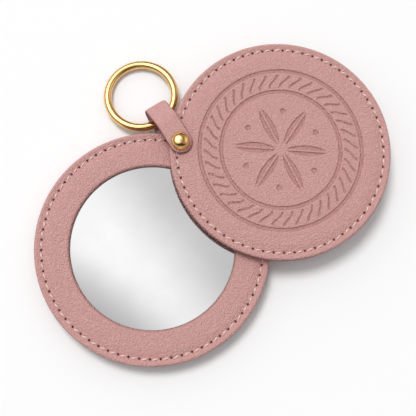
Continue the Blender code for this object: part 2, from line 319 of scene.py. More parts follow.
def ring_faces(a: int, count_a: int, b: int, count_b: int) -> list[tuple[int, ...]]:
    """Faces between two rings whose counts are equal, doubled, halved, or one.

    Args:
        a: First point of the inner ring.
        count_a: Its number of points.
        b: First point of the outer ring.
        count_b: Its number of points.

    Returns:
        Faces that look upwards when the second ring is the outer one.
    """
    faces: list[tuple[int, ...]] = []
    fewer, more = sorted((count_a, count_b))
    if fewer > 1 and more not in (fewer, 2 * fewer):
        raise ValueError(f"rings of {count_a} and {count_b} points don't join")
    for j in range(fewer if fewer > 1 else more):
        next_a, next_b = a + (j + 1) % count_a, b + (j + 1) % count_b
        if count_a == 1:
            faces.append((a, b + j, next_b))
        elif count_b == 1:
            faces.append((a + j, b, next_a))
        elif count_a == count_b:
            faces.append((a + j, b + j, next_b, next_a))
        elif count_b > count_a:
            near, mid, far = b + 2 * j, b + 2 * j + 1, b + (2 * j + 2) % count_b
            faces += [(a + j, near, mid), (a + j, mid, next_a), (next_a, mid, far)]
        else:
            near, mid, far = a + 2 * j, a + 2 * j + 1, a + (2 * j + 2) % count_a
            faces += [(near, b + j, mid), (mid, b + j, next_b), (mid, next_b, far)]
    return faces


def upper_lower(rows: Sequence[Row], middle: float) -> list[Row]:
    """Mirrors an upper skin's rings at a height, in the order that keeps their faces outwards."""
    return [Row(r.radius, 2 * middle - r.height, r.count, -r.pressed, r.stain) for r in reversed(rows)]


def spread(start: float, end: float, step: float) -> list[float]:
    """Evenly spaced values from start to end, no further apart than a step."""
    count = max(1, math.ceil(abs(end - start) / step - 1e-6))
    return [start + (end - start) * i / count for i in range(count + 1)]


# Relief pressed into the leather


def eased(share: np.ndarray) -> np.ndarray:
    """Clips shares to 0 to 1 and eases them at both ends."""
    near = np.clip(share, 0, 1)
    return near * near * (3 - 2 * near)


@dataclass(frozen=True)
class SeamRelief:
    """Leather drawn down by a lockstitch seam, with needle holes, their painted shade, and slight
    puckers.
    """

    radius: float
    stitches: int
    groove_half: float = 0.5 * MM
    groove_depth: float = 0.14 * MM
    hole_radius: float = 0.34 * MM
    hole_depth: float = 0.3 * MM
    pull_half: float = 1.45 * MM
    pull_depth: float = 0.44 * MM
    pucker_half: float = 0.9 * MM
    pucker_depth: float = 0.04 * MM

    def press(self, radius: np.ndarray, angle: np.ndarray) -> tuple[np.ndarray, np.ndarray]:
        """Presses the seam.

        Args:
            radius: Distances from the disc's axis.
            angle: Angles from the rivet, where a stitch is centred.

        Returns:
            Depths below the plain face, and painted shade that is 1 in a needle hole.
        """
        off = radius - self.radius
        pull = self.pull_depth * np.exp(-((off / self.pull_half) ** 2))
        groove = self.groove_depth * eased(1 - np.abs(off) / self.groove_half)
        phase = angle * self.stitches / TURN
        along = (phase - np.floor(phase) - 0.5) * TURN * self.radius / self.stitches
        # Each needle hole is dented, and painted dark as the shade inside it
        hole_shade = np.exp(-(((off**2 + along**2) / self.hole_radius**2) ** 2))
        beside = (np.abs(off) - self.groove_half - self.pucker_half / 2) / self.pucker_half
        wave = 0.5 + 0.5 * np.cos(TURN * (phase - 0.5))
        pucker = self.pucker_depth * np.exp(-(beside**2)) * wave
        return pull + groove + self.hole_depth * hole_shade + pucker, hole_shade


@dataclass(frozen=True)
class RosetteRelief:
    """Plain pressed ornament: two channels, a rope border between them and a six-petal rosette."""

    outer_groove: float = 24.5 * MM
    inner_groove: float = 18.0 * MM
    groove_half: float = 0.65 * MM
    depth: float = 0.36 * MM
    wall: float = 0.34 * MM
    # Darkening of the pressed lines, strongest on their walls: part burnish, part painted shade in the
    # grooves
    stain: float = 0.36
    wall_burnish_and_shade: float = 2.2
    floor_burnish_and_shade: float = 0.45
    rope_middle: float = 21.25 * MM
    rope_half: float = 2.1 * MM
    rope_strands: int = 40
    rope_line_half: float = 0.42 * MM
    rope_lean: float = 0.42
    rope_slope: float = math.radians(30)
    petals: int = 6
    petal_radius: float = 15.6 * MM
    petal_inset: float = 0.4 * MM
    vein_half: float = 0.22 * MM
    stud_radius: float = 0.95 * MM
    stud_reach: float = 11.8 * MM

    def sunk(self, inside: np.ndarray) -> np.ndarray:
        """Share of the full depth, from how far a point lies inside a pressed form's edge."""
        return eased(inside / self.wall)

    def rope(self, radius: np.ndarray, angle: np.ndarray) -> np.ndarray:
        """Leaning lines between the two channels, as on a twisted rope.

        Args:
            radius: Distances from the disc's axis.
            angle: Angles from the rivet.

        Returns:
            Shares of the full depth.
        """
        off = (radius - self.rope_middle) / self.rope_half
        phase = angle * self.rope_strands / TURN + self.rope_lean * np.sin(off * QUARTER)
        pitch = TURN * self.rope_middle / self.rope_strands
        away = np.abs(phase - np.round(phase)) * pitch * math.cos(self.rope_slope)
        return self.sunk(np.minimum(self.rope_line_half - away, (1 - np.abs(off)) * self.rope_half))

    def rosette(self, radius: np.ndarray, angle: np.ndarray) -> np.ndarray:
        """Six pressed petals with a raised vein, and a pressed stud between each two.

        Args:
            radius: Distances from the disc's axis.
            angle: Angles from the rivet.

        Returns:
            Shares of the full depth.
        """
        x, y = radius * np.cos(angle), radius * np.sin(angle)
        pressed = np.zeros_like(radius)

        def away(bearing: float, reach: float) -> np.ndarray:
            """Distances from a point at a bearing and a distance from the axis."""
            return np.hypot(x - reach * math.cos(bearing), y - reach * math.sin(bearing))

        for turn in range(self.petals):
            bearing = TURN * turn / self.petals
            arcs = [away(bearing + side, self.petal_radius) for side in (-math.pi / 3, math.pi / 3)]
            inside = self.petal_radius - np.maximum(*arcs) - self.petal_inset
            vein = np.abs(y * math.cos(bearing) - x * math.sin(bearing)) - self.vein_half
            stud = self.stud_radius - away(bearing + math.pi / self.petals, self.stud_reach)
            pressed = np.maximum(pressed, self.sunk(np.maximum(np.minimum(inside, vein), stud)))
        return pressed

    def press(self, radius: np.ndarray, angle: np.ndarray) -> tuple[np.ndarray, np.ndarray]:
        """Presses the whole ornament, whose walls are darkened more than its floor by burnish and
        painted shade.

        Args:
            radius: Distances from the disc's axis.
            angle: Angles from the rivet.

        Returns:
            Depths below the plain face, and burnish with painted shade.
        """
        grooves = [
            self.sunk(self.groove_half - np.abs(radius - groove))
            for groove in (self.outer_groove, self.inner_groove)
        ]
        forms = [*grooves, self.rope(radius, angle), self.rosette(radius, angle)]
        pressed = np.maximum.reduce(forms)
        burnish_and_shade = self.wall_burnish_and_shade * pressed * (1 - pressed) + self.floor_burnish_and_shade * pressed**2
        return self.depth * pressed, self.stain * burnish_and_shade


# Materials


@dataclass(frozen=True)
class CoatedLeather:
    """Split leather coated with polyurethane and embossed with a fine pebble grain.

    The coating gives a soft, even sheen; the pressing burnishes it darker where it is deepest, and
    painted shade darkens its needle holes, side walls and edges. The real pebbles are about 0.4 mm
    across and are drawn at 0.52 mm, the least that shows in a render.
    """

    name: str = "embossed_polyurethane_leather"
    pale: str = "DFB1AC"
    middle: str = "D5A6A1"
    deep: str = "CB9994"
    # Colour of real burnish and of painted shade on walls and edges; the next is painted shade of
    # needle holes and deep edges
    burnish_and_shade: str = "854A47"
    hole_shade: str = "55282B"
    pebble_mm: float = 0.52
    crease_mm: float = 1.0
    roughness: float = 0.55
    sheen_level: float = 0.22
    bump_mm: float = 0.42
    bump_strength: float = 0.8
    crease_detail: float = 4.0
    crease_roughness: float = 0.7
    pebble_detail: float = 1.0
    pebble_smoothness: float = 0.35
    grain_span: tuple[float, float] = (-0.3, 0.35)
    tone_places: tuple[float, float, float] = (0.1, 0.5, 0.9)
    # The first half of this value gives burnish and painted shade, and the rest the painted shade of a
    # needle hole or a deep edge
    burnish_and_shade_span: tuple[float, ...] = (0.0, 0.5, 0.0, 0.8)
    hole_shade_span: tuple[float, float] = (0.5, 0.8)

    def shader(self, add: AddNode) -> Socket:
        """Adds the grain, its tones, the burnish, and the painted shade of holes, walls and edges.

        Args:
            add: Adds a node to the material.

        Returns:
            The shader's socket.
        """
        place = add(COORDINATES, output="Object")
        crease = {
            "Vector": place,
            "Scale": 1 / (self.crease_mm * MM),
            "Detail": self.crease_detail,
            "Roughness": self.crease_roughness,
        }
        pebble = {
            "Vector": place,
            "Scale": 1 / (self.pebble_mm * MM),
            "Detail": self.pebble_detail,
            "Smoothness": self.pebble_smoothness,
        }
        cells = add("ShaderNodeTexVoronoi", {"feature": "SMOOTH_F1"}, pebble)
        height = add(MATH, "SUBTRACT", (add(NOISE, None, crease), cells))
        stops = tuple(zip(self.tone_places, (self.deep, self.middle, self.pale)))
        skin = add(RAMP, {"stops": stops}, (add(SPAN, None, (height, *self.grain_span)),))
        named = {"attribute_type": "GEOMETRY", "attribute_name": "stain"}
        stain = add("ShaderNodeAttribute", named, output="Fac")
        # Burnish and painted shade first, then the painted shade of needle holes and deep edges
        burnish_and_shade_share = add(SPAN, None, (stain, *self.burnish_and_shade_span))
        hole_shade_share = add(SPAN, None, (stain, *self.hole_shade_span))
        wear_and_shade = add(MIX, COLOURS, {0: burnish_and_shade_share, 6: skin, 7: linear(self.burnish_and_shade)}, 2)
        bump = {"Height": height, "Distance": self.bump_mm * MM, "Strength": self.bump_strength}
        finish = {
            "Base Color": add(MIX, COLOURS, {0: hole_shade_share, 6: wear_and_shade, 7: linear(self.hole_shade)}, 2),
            "Normal": add(BUMP, None, bump),
            "Roughness": self.roughness,
            "Specular IOR Level": self.sheen_level,
        }
        return add(PRINCIPLED, None, finish)


@dataclass(frozen=True)
class GrainedFinish:
    """A finish whose tone and bump follow one fine grain in the object's own space."""

    name: str
    pale: str
    deep: str
    grain_mm: float
    roughness: float
    bump_mm: float = 0.02
    bump_strength: float = 0.5
    detail: float = 4.0
    stops: tuple[float, float] = (0.35, 0.65)
    uneven: tuple[float, float] | None = None
    metallic: float = 0.0
    sheen: float = 0.0

    def shader(self, add: AddNode) -> Socket:
        """Adds the grain and what follows it.

        Args:
            add: Adds a node to the material.

        Returns:
            The shader's socket.
        """
        place = add(COORDINATES, output="Object")
        scale = 1 / (self.grain_mm * MM)
        grain = add(NOISE, None, {"Vector": place, "Scale": scale, "Detail": self.detail})
        stops = tuple(zip(self.stops, (self.deep, self.pale)))
        finish = {
            "Base Color": add(RAMP, {"stops": stops}, (grain,)),
            "Roughness": self.roughness,
            "Metallic": self.metallic,
            "Sheen Weight": self.sheen,
        }
        if self.uneven:
            finish["Roughness"] = add(SPAN, None, (grain, 0.0, 1.0, *self.uneven))
        if self.bump_mm:
            bump = {"Height": grain, "Distance": self.bump_mm * MM, "Strength": self.bump_strength}
            finish["Normal"] = add(BUMP, None, bump)
        return add(PRINCIPLED, None, finish)


class Finish(Enum):
    """The object's finishes."""

    LEATHER = CoatedLeather()
    # Bonded polyester thread: its fibres give a silky highlight along each ply
    THREAD = GrainedFinish(
        "bonded_polyester_thread",
        "F6DCD7",
        "E4BBB5",
        grain_mm=0.12,
        roughness=0.42,
        detail=2.0,
        stops=(0.3, 0.62),
        sheen=0.15,
    )
    # Brass, polished and flash-plated with gold: faint buffing lines soften its sharp highlights
    BRASS = GrainedFinish(
        "polished_gold_plated_brass",
        "F0C483",
        "E6B670",
        grain_mm=0.5,
        roughness=0.1,
        bump_mm=0.004,
        bump_strength=0.3,
        detail=3.0,
        stops=(0.3, 0.6),
        uneven=(0.06, 0.16),
        metallic=1.0,
    )
    # Float glass silvered on its back: it mirrors sharply, with a trace of uneven silvering
    MIRROR = GrainedFinish(
        "silvered_float_glass",
        "FAFAFA",
        "F6F6F6",
        grain_mm=9.0,
        roughness=0.015,
        bump_mm=0.0,
        detail=2.0,
        metallic=1.0,
    )
    # Ground glass edge: pale and matt, with a green cast from the glass behind it
    GLASS_EDGE = GrainedFinish("ground_glass_edge", "E4ECE8", "C9D6D0", 0.2, 0.35)
    # Pressed grey board: felted paper fibres, quite matt
    BOARD = GrainedFinish("pressed_grey_board", "ADA79C", "938D83", 0.5, 0.9, 0.04)
    # Closed-cell foam: chalky, with fine pores
    FOAM = GrainedFinish("closed_cell_foam", "F0EFEA", "DEDCD5", 0.3, 0.85, 0.05)
    # Acrylic adhesive pad: slightly yellow and waxy
    ADHESIVE = GrainedFinish("acrylic_adhesive_pad", "E3DFCF", "D2CDB9", 1.0, 0.5)

    @property
    def material(self) -> bpy.types.Material:
        """The finish's material, made at its first use."""
        name, shader = self.value.name, self.value.shader
        return bpy.data.materials.get(name) or make_material(name, shader)


# Stitches and ring, made by Geometry Nodes


class PieceNodes:
    """Geometry Nodes tree with named inputs, whose result becomes one plain mesh piece."""

    NAME: str
    INPUTS: dict[str, Any]

    def __init__(self) -> None:
        """Builds the tree once, with the inputs' own values as defaults."""
        kinds = {int: "NodeSocketInt", float: "NodeSocketFloat", type(None): "NodeSocketMaterial"}
        self.tree = bpy.data.node_groups.new(self.NAME, "GeometryNodeTree")
        self.sockets: dict[str, str] = {}
        new_socket = self.tree.interface.new_socket
        for name, value in self.INPUTS.items():
            socket = new_socket(name=name, in_out="INPUT", socket_type=kinds[type(value)])
            if value is not None:
                socket.default_value = value
            self.sockets[name] = socket.identifier
        new_socket(name="Geometry", in_out="OUTPUT", socket_type="NodeSocketGeometry")
        self.add: AddNode = partial(add_node, self.tree)
        self.given = self.add("NodeGroupInput").node.outputs
        real = self.add("GeometryNodeRealizeInstances", None, (self.geometry(),))
        dress = {"Geometry": real, "Material": self.given["Material"]}
        self.add("NodeGroupOutput", None, (self.add("GeometryNodeSetMaterial", None, dress),))

    def geometry(self) -> Socket:
        """Adds the nodes that make the piece's shape, and returns its socket."""
        raise NotImplementedError

    def make(self, name: str, place: Matrix, values: dict[str, Any]) -> bpy.types.Object:
        """Makes one piece as a plain mesh.

        Args:
            name: Name of the piece.
            place: Its place, which goes into its mesh.
            values: Inputs of the tree by name.

        Returns:
            The piece.
        """
        piece = link_object(name, bpy.data.meshes.new(name))
        modifier = piece.modifiers.new(self.NAME, "NODES")
        modifier.node_group = self.tree
        for key, value in values.items():
            modifier[self.sockets[key]] = value
        bake_modifiers(piece)
        piece.data.transform(place)
        piece.data.shade_smooth()
        return piece


class StitchNodes(PieceNodes):
    """Slanted, twisted stitches round a circle, but for those left out at the rivet.

    Every stitch is one short bent cord whose three plies come from a lobed section and a twist. It
    dives into the needle holes at both ends.
    """

    PLIES = 3
    NAME = "stitched_circle"
    INPUTS = {
        "Stitches": 66,
        "Seam Radius": 32.8 * MM,
        "First Angle": 0.0,
        "Left Out": 1,
        "Stitch Length": 2.4 * MM,
        "Thread Radius": 0.3 * MM,
        "End Height": -1.58 * MM,
        "Arch Height": 0.95 * MM,
        "Slant": 0.25,
        "Wander": 0.035,
        "Twist": 0.75,
        "Ply Depth": 0.2,
        "Steps": 9,
        "Seed": 7,
        "Material": None,
    }

    def random(self, seed_step: int) -> Socket:
        """A random value for each stitch, from minus to plus the wander.

        Args:
            seed_step: What is added to the seed.

        Returns:
            The value's socket.
        """
        seed = self.add(MATH, "ADD", (self.given["Seed"], float(seed_step)))
        low = self.add(MATH, "MULTIPLY", (self.given["Wander"], -1.0))
        inputs = {2: low, 3: self.given["Wander"], "Seed": seed}
        return self.add("FunctionNodeRandomValue", {"data_type": "FLOAT"}, inputs, 1)

    def stitch(self) -> Socket:
        """One stitch along X, as a twisted cord of three plies.

        Returns:
            The socket of its mesh.
        """
        add, given = self.add, self.given
        half = add(MATH, "MULTIPLY", (given["Stitch Length"], 0.5))
        back = add(MATH, "MULTIPLY", (half, -1.0))
        bend = {
            "Resolution": given["Steps"],
            "Start": add(COMBINE, None, {"X": back, "Z": given["End Height"]}),
            "Middle": add(COMBINE, None, {"Z": given["Arch Height"]}),
            "End": add(COMBINE, None, {"X": half, "Z": given["End Height"]}),
        }
        index = add("GeometryNodeInputIndex")
        twist = {
            "Curve": add("GeometryNodeCurveQuadraticBezier", None, bend),
            "Tilt": add(MATH, "MULTIPLY", (index, given["Twist"])),
        }
        # Two points for each ply, of which every second one is sunk
        points = {"Resolution": 2 * self.PLIES, "Radius": given["Thread Radius"]}
        circle = add(CIRCLE, {"mode": "RADIUS"}, points)
        dip = add(MATH, "MULTIPLY", (add(MATH, "MODULO", (index, 2.0)), given["Ply Depth"]))
        lobe = add(MATH, "SUBTRACT", (1.0, dip))
        lobed = add(VECTOR, "SCALE", {0: add("GeometryNodeInputPosition"), "Scale": lobe})
        section = {"Geometry": circle, "Position": lobed}
        cord = {
            "Curve": add("GeometryNodeSetCurveTilt", None, twist),
            "Profile Curve": add("GeometryNodeSetPosition", None, section),
            "Fill Caps": True,
        }
        return add("GeometryNodeCurveToMesh", None, cord)

    def geometry(self) -> Socket:
        """Places a stitch at every step of the circle but those left out at the rivet.

        Returns:
            The socket of all stitches.
        """
        add, given = self.add, self.given
        index = add("GeometryNodeInputIndex")
        step = add(MATH, "DIVIDE", (TURN, given["Stitches"]))
        turn = add(MATH, "ADD", (add(MATH, "MULTIPLY", (index, step)), given["First Angle"]))
        x, y = (
            add(MATH, "MULTIPLY", (add(MATH, wave, (turn,)), given["Seam Radius"]))
            for wave in ("COSINE", "SINE")
        )
        place = add(COMBINE, None, {"X": x, "Y": y})
        lean = add(MATH, "ADD", (given["Slant"], self.random(1)))
        yaw = add(MATH, "ADD", (add(MATH, "ADD", (turn, QUARTER)), lean))
        euler = add(COMBINE, None, {"Y": self.random(2), "Z": yaw})
        test = {"data_type": "INT", "operation": "GREATER_EQUAL"}
        laid = {
            "Points": add("GeometryNodePoints", None, {"Count": given["Stitches"], "Position": place}),
            "Selection": add("FunctionNodeCompare", test, {"A": index, "B": given["Left Out"]}),
            "Instance": self.stitch(),
            "Rotation": add("FunctionNodeEulerToRotation", None, (euler,)),
        }
        return add("GeometryNodeInstanceOnPoints", None, laid)


class RingNodes(PieceNodes):
    """Closed ring of round wire, which swells slightly where it was butt-welded."""

    NAME = "welded_wire_ring"
    INPUTS = {
        "Ring Radius": 10.4 * MM,
        "Wire Radius": 1.25 * MM,
        "Steps": 224,
        "Section Steps": 36,
        "Weld Swell": 0.03,
        "Weld Reach": 1.6,
        "Material": None,
    }

    def geometry(self) -> Socket:
        """Sweeps the wire's section round the ring.

        Returns:
            The socket of the ring.
        """
        add, given = self.add, self.given
        circle, section = (
            add(CIRCLE, {"mode": "RADIUS"}, {"Resolution": given[steps], "Radius": given[radius]})
            for steps, radius in (("Steps", "Ring Radius"), ("Section Steps", "Wire Radius"))
        )
        half = add(MATH, "DIVIDE", (given["Steps"], 2.0))
        away = add(MATH, "SUBTRACT", (add("GeometryNodeInputIndex"), half))
        share = add(MATH, "DIVIDE", (away, given["Weld Reach"]))
        down = add(MATH, "MULTIPLY", (add(MATH, "MULTIPLY", (share, share)), -1.0))
        swell = add(MATH, "MULTIPLY_ADD", (add(MATH, "EXPONENT", (down,)), given["Weld Swell"], 1.0))
        line = add("GeometryNodeSetCurveRadius", None, {"Curve": circle, "Radius": swell})
        return add("GeometryNodeCurveToMesh", None, {"Curve": line, "Profile Curve": section})


# Sub-assemblies


@dataclass
class LeatherDisc:
    """What both halves share: two skins that meet at a parting line, and a seam through them."""

    name: str
    body: str
    back: str
    radius: float = 35.0 * MM
    stitches: int = 66
    stitch_inset: float = 2.2 * MM
    stitch_dive: float = 1.58 * MM
    stitch_arch: float = 0.95 * MM
    leather: float = 0.9 * MM
    rim_round: float = 0.95 * MM
    rim_steps: int = 8
    parting_gap: float = 0.12 * MM
    edge_round: float = 0.32 * MM
    # Painted shade on the side wall and on the rolled edge at the parting line
    wall_shade: float = 0.16
    edge_shade: float = 0.45
    bore_radius: float = 1.45 * MM
    seam_reach: float = 1.2 * MM
    seam_step: float = 0.16 * MM
    # Points of a ring for each stitch, on the seam, beside it and on plain leather
    seam_points: int = 16
    near_points: int = 8
    plain_points: int = 4

    def __post_init__(self) -> None:
        """Takes the disc's heights and its place in plan from the CAD nodes."""
        self.seam = SeamRelief(self.radius - self.stitch_inset, self.stitches)
        low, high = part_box(f"{self.name}_front_leather")
        self.top, self.base = high.z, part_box(f"{self.name}_{self.back}_leather")[0].z
        self.parting = (self.top + self.base) / 2
        self.centre = Vector(((low.x + high.x) / 2, (low.y + high.y) / 2, 0))
        self.start = math.atan2(-self.centre.y, -self.centre.x)

    def relief(self, radius: np.ndarray, angle: np.ndarray) -> tuple[np.ndarray, np.ndarray]:
        """What is pressed into the front skin: its depth and painted hole shade, from radius and angle.
        """
        return self.seam.press(radius, angle)

    def front_rows(self) -> list[Row]:
        """Rings of the front skin."""
        raise NotImplementedError

    def seam_rows(self, height: float) -> list[Row]:
        """Fine rings across the seam.

        Args:
            height: Height of the plain face.

        Returns:
            The rings, from the inner one outwards.
        """
        seam, reach = self.seam.radius, self.seam_reach
        fine = spread(seam - reach, seam + reach, self.seam_step)
        rows = [Row(radius, height, self.seam_points * self.stitches, 1) for radius in fine]
        return [Row(seam - 1.2 * reach, height, self.near_points * self.stitches, 1), *rows]

    def rim_rows(self) -> list[Row]:
        """Rounded rim, skirt and rolled lower edge of an upper skin, then its inside, with painted
        shade down the wall and edge.

        Returns:
            The rings, from the face down and back up inside.
        """
        edge, turn, wear_and_shade = self.parting + self.parting_gap / 2, self.edge_round, self.edge_shade
        fine, plain = self.near_points * self.stitches, self.plain_points * self.stitches
        inner = self.radius - self.leather
        rows = []
        for i in range(1, self.rim_steps + 1):
            angle = QUARTER - QUARTER * i / self.rim_steps
            radius = self.radius - self.rim_round + self.rim_round * math.cos(angle)
            if radius > self.seam.radius + 1.1 * self.seam_reach:
                height = self.top - self.rim_round + self.rim_round * math.sin(angle)
                # Painted shade grows down the rim towards the side wall
                stain = self.wall_shade * max(0.0, 2 * i / self.rim_steps - 1)
                rows.append(Row(radius, height, fine, 1, stain))
        # The side wall and rolled lower edge get painted shade, darkest towards the parting line
        for radius, height, stain in (
            (self.radius, edge + 1.6 * turn, self.wall_shade),
            (self.radius, edge + turn, wear_and_shade / 2),
            (self.radius - 0.3 * turn, edge + 0.3 * turn, wear_and_shade),
            (self.radius - turn, edge, wear_and_shade),
            (inner, edge, wear_and_shade),
            (inner, self.top - self.leather, 0.0),
        ):
            rows.append(Row(radius, height, plain, stain=stain))
        return rows

    def back_rows(self) -> list[Row]:
        """Rings of the plain lower skin, which faces down.

        Returns:
            The rings, from the inside over the rim to the middle.
        """
        top, inside, count = self.top, self.seam.radius - 1.5 * self.seam_reach, self.stitches
        rows = [Row(0, top, 1), Row(0.12 * inside, top, count)]
        rows += [Row(share * inside, top, 2 * count) for share in (0.3, 0.5, 0.7)]
        rows += [Row(0.88 * inside, top, 4 * count), Row(inside, top, 4 * count, 1)]
        rows += [*self.seam_rows(top), *self.rim_rows(), Row(0, top - self.leather, 1)]
        return upper_lower(rows, self.parting)

    def skin(self, side: str, rows: Sequence[Row], relief: Relief) -> None:
        """Makes one skin, bores it for the rivet and rides it on its body.

        Args:
            side: Which skin of the disc it is.
            rows: Its rings.
            relief: What is pressed into it.
        """
        name = f"{self.name}_{side}_skin"
        mesh = turned_mesh(name, rows, self.centre, relief, self.start)
        piece = link_piece(name, mesh, Finish.LEATHER.material)
        cut_bore(piece, self.bore_radius, self.base - 1 * MM, self.top + 1 * MM)
        seat(piece, self.body, "leather", f"{self.name}_{side}_leather")

    def seams(self, stitches: StitchNodes) -> None:
        """Lays the top and bobbin threads.

        Args:
            stitches: The tree that lays stitches.
        """
        for thread, height, side, seed in (("top", self.top, 1, 7), ("bobbin", self.base, -1, 11)):
            values = {
                "Stitches": self.stitches,
                "Seam Radius": self.seam.radius,
                "First Angle": self.start,
                "End Height": -side * self.stitch_dive,
                "Arch Height": side * self.stitch_arch,
                "Seed": seed,
                "Material": Finish.THREAD.material,
            }
            place = Matrix.Translation((self.centre.x, self.centre.y, height))
            piece = stitches.make(f"{self.name}_seam_{thread}_stitches", place, values)
            seat(piece, self.body, "thread", f"{self.name}_seam_{thread}_thread")

    def build(self, stitches: StitchNodes) -> None:
        """Builds both skins and both threads.

        Args:
            stitches: The tree that lays stitches.
        """
        self.skin("front", self.front_rows(), self.relief)
        self.skin(self.back, self.back_rows(), self.seam.press)
        self.seams(stitches)


@dataclass
class MirrorHalf(LeatherDisc):
    """Leather case with a round well, stiff boards inside it, and a silvered glass."""

    name: str = "mirror"
    body: str = "mirror_half"
    back: str = "back"
    opening: float = 24.5 * MM
    lip_round: float = 1.0 * MM
    lip_steps: int = 6
    # Darkening of the lip towards the well: part burnish, part painted shade
    lip_wear_and_shade: float = 0.32
    face_start: float = 1.5 * MM
    face_step: float = 1.6 * MM
    glass_bevel: float = 0.14 * MM
    glass_clearance: float = 0.02 * MM
    glass_sides: int = 256

    def relief(self, radius: np.ndarray, angle: np.ndarray) -> tuple[np.ndarray, np.ndarray]:
        """The seam, and the lip darkened where it turns into the well: part burnish, part painted shade
        of the well.

        Args:
            radius: Distances from the disc's axis.
            angle: Angles from the rivet.

        Returns:
            Depths, and stains with painted shade.
        """
        depth, stain = self.seam.press(radius, angle)
        lip = self.lip_wear_and_shade * np.clip(1 - (radius - self.opening) / self.lip_round, 0, 1) ** 2
        return depth, np.maximum(stain, lip)

    def front_rows(self) -> list[Row]:
        """Rings from the well's wall over the lip and face to the rim, and back inside.

        Returns:
            The rings in that order.
        """
        well = max(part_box(node)[0].z for node in ("mirror_front_leather", "mirror_adhesive_pad"))
        top, lip, plain = self.top, self.lip_round, self.plain_points * self.stitches
        rows = [Row(self.opening, well, plain), Row(self.opening, top - 1.5 * lip, plain)]
        for i in range(self.lip_steps + 1):
            angle = math.pi - QUARTER * i / self.lip_steps
            radius = self.opening + lip + lip * math.cos(angle)
            rows.append(Row(radius, top - lip + lip * math.sin(angle), plain))
        start, end = self.opening + self.face_start, self.seam.radius - 2 * self.seam_reach
        rows += [Row(radius, top, plain, 1) for radius in spread(start, end, self.face_step)]
        rows += self.seam_rows(top) + self.rim_rows()
        inner = self.opening + self.leather
        return rows + [Row(inner, top - self.leather, plain), Row(inner, well, plain)]

    def glass(self) -> None:
        """Silvered disc with a ground and bevelled edge."""
        low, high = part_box("mirror_glass")
        radius, bevel = self.opening - self.glass_clearance, self.glass_bevel
        sides, fewer = self.glass_sides, self.glass_sides // 2
        rows = [Row(0, high.z, 1), Row(radius / 2, high.z, fewer), Row(radius - bevel, high.z, sides)]
        rows += [Row(radius, high.z - bevel, sides), Row(radius, low.z, sides)]
        rows += [Row(radius / 2, low.z, fewer), Row(0, low.z, 1)]
        mesh = turned_mesh("mirror_glass_disc", rows, self.centre)
        for finish in (Finish.MIRROR, Finish.GLASS_EDGE):
            mesh.materials.append(finish.material)
        for face in mesh.polygons:
            away = (face.center.xy - self.centre.xy).length
            face.material_index = 1 if away > radius - bevel else 0
        piece = link_piece("mirror_glass_disc", mesh, Finish.MIRROR.material)
        seat(piece, self.body, "mirror_glass", "mirror_glass")

    def build(self, stitches: StitchNodes) -> None:
        """Builds the skins, the threads and the glass.

        Args:
            stitches: The tree that lays stitches.
        """
        super().build(stitches)
        self.glass()


@dataclass
class Cover(LeatherDisc):
    """Leather disc over a stiff board, with a thin foam pad under its pressed face."""

    name: str = "cover"
    body: str = "cover"
    back: str = "lining"
    radius: float = 33.5 * MM
    stitches: int = 63
    # Darker painted shade on the cover's side wall and under its edge, over the mirror
    wall_shade: float = 0.3
    edge_shade: float = 0.85
    crown: float = 0.2 * MM
    crown_radius: float = 29.0 * MM
    ornament: RosetteRelief = field(default_factory=RosetteRelief)

    def relief(self, radius: np.ndarray, angle: np.ndarray) -> tuple[np.ndarray, np.ndarray]:
        """The seam and the ornament together.

        Args:
            radius: Distances from the disc's axis.
            angle: Angles from the rivet.

        Returns:
            Depths, and burnish with painted shade.
        """
        seam, hole_shade = self.seam.press(radius, angle)
        ornament, stain = self.ornament.press(radius, angle)
        return seam + ornament, np.maximum(hole_shade, stain)

    def face_height(self, radius: float) -> float:
        """Height of the padded face, which swells slightly towards its middle."""
        return self.top + self.crown * max(0.0, 1 - (radius / self.crown_radius) ** 2)

    def front_rows(self) -> list[Row]:
        """Rings of the face, fine where the ornament is, then the rim and the inside.

        Returns:
            The rings, from the middle outwards and back inside.
        """
        art, half, rope = self.ornament, self.ornament.groove_half, 1.05 * self.ornament.rope_half
        petal_edge = art.petal_radius + 0.3 * MM
        # Start, end and step of each band of rings, and its points for each stitch of the seam
        bands = (
            (0.35 * MM, 2.9 * MM, 0.25 * MM, 2),
            (3.1 * MM, 7.0 * MM, 0.24 * MM, 4),
            (7.2 * MM, petal_edge, 0.2 * MM, 8),
            (petal_edge + 0.5 * MM, art.inner_groove - 1.4 * half, 0.7 * MM, 8),
            (art.inner_groove - 1.1 * half, art.inner_groove + 1.1 * half, 0.13 * MM, 8),
            (art.rope_middle - rope, art.rope_middle + rope, 0.2 * MM, 16),
            (art.outer_groove - 1.1 * half, art.outer_groove + 1.1 * half, 0.13 * MM, 16),
            (art.outer_groove + 2 * half, self.seam.radius - 2 * self.seam_reach, 0.9 * MM, 8),
        )
        middle = self.face_height(0)
        rows = [Row(0, middle, 1, 1), Row(0.15 * MM, middle, self.stitches, 1)]
        for start, end, step, count in bands:
            for radius in spread(start, end, step):
                rows.append(Row(radius, self.face_height(radius), count * self.stitches, 1))
        inside = Row(0, self.top - self.leather, 1)
        return [*rows, *self.seam_rows(self.top), *self.rim_rows(), inside]


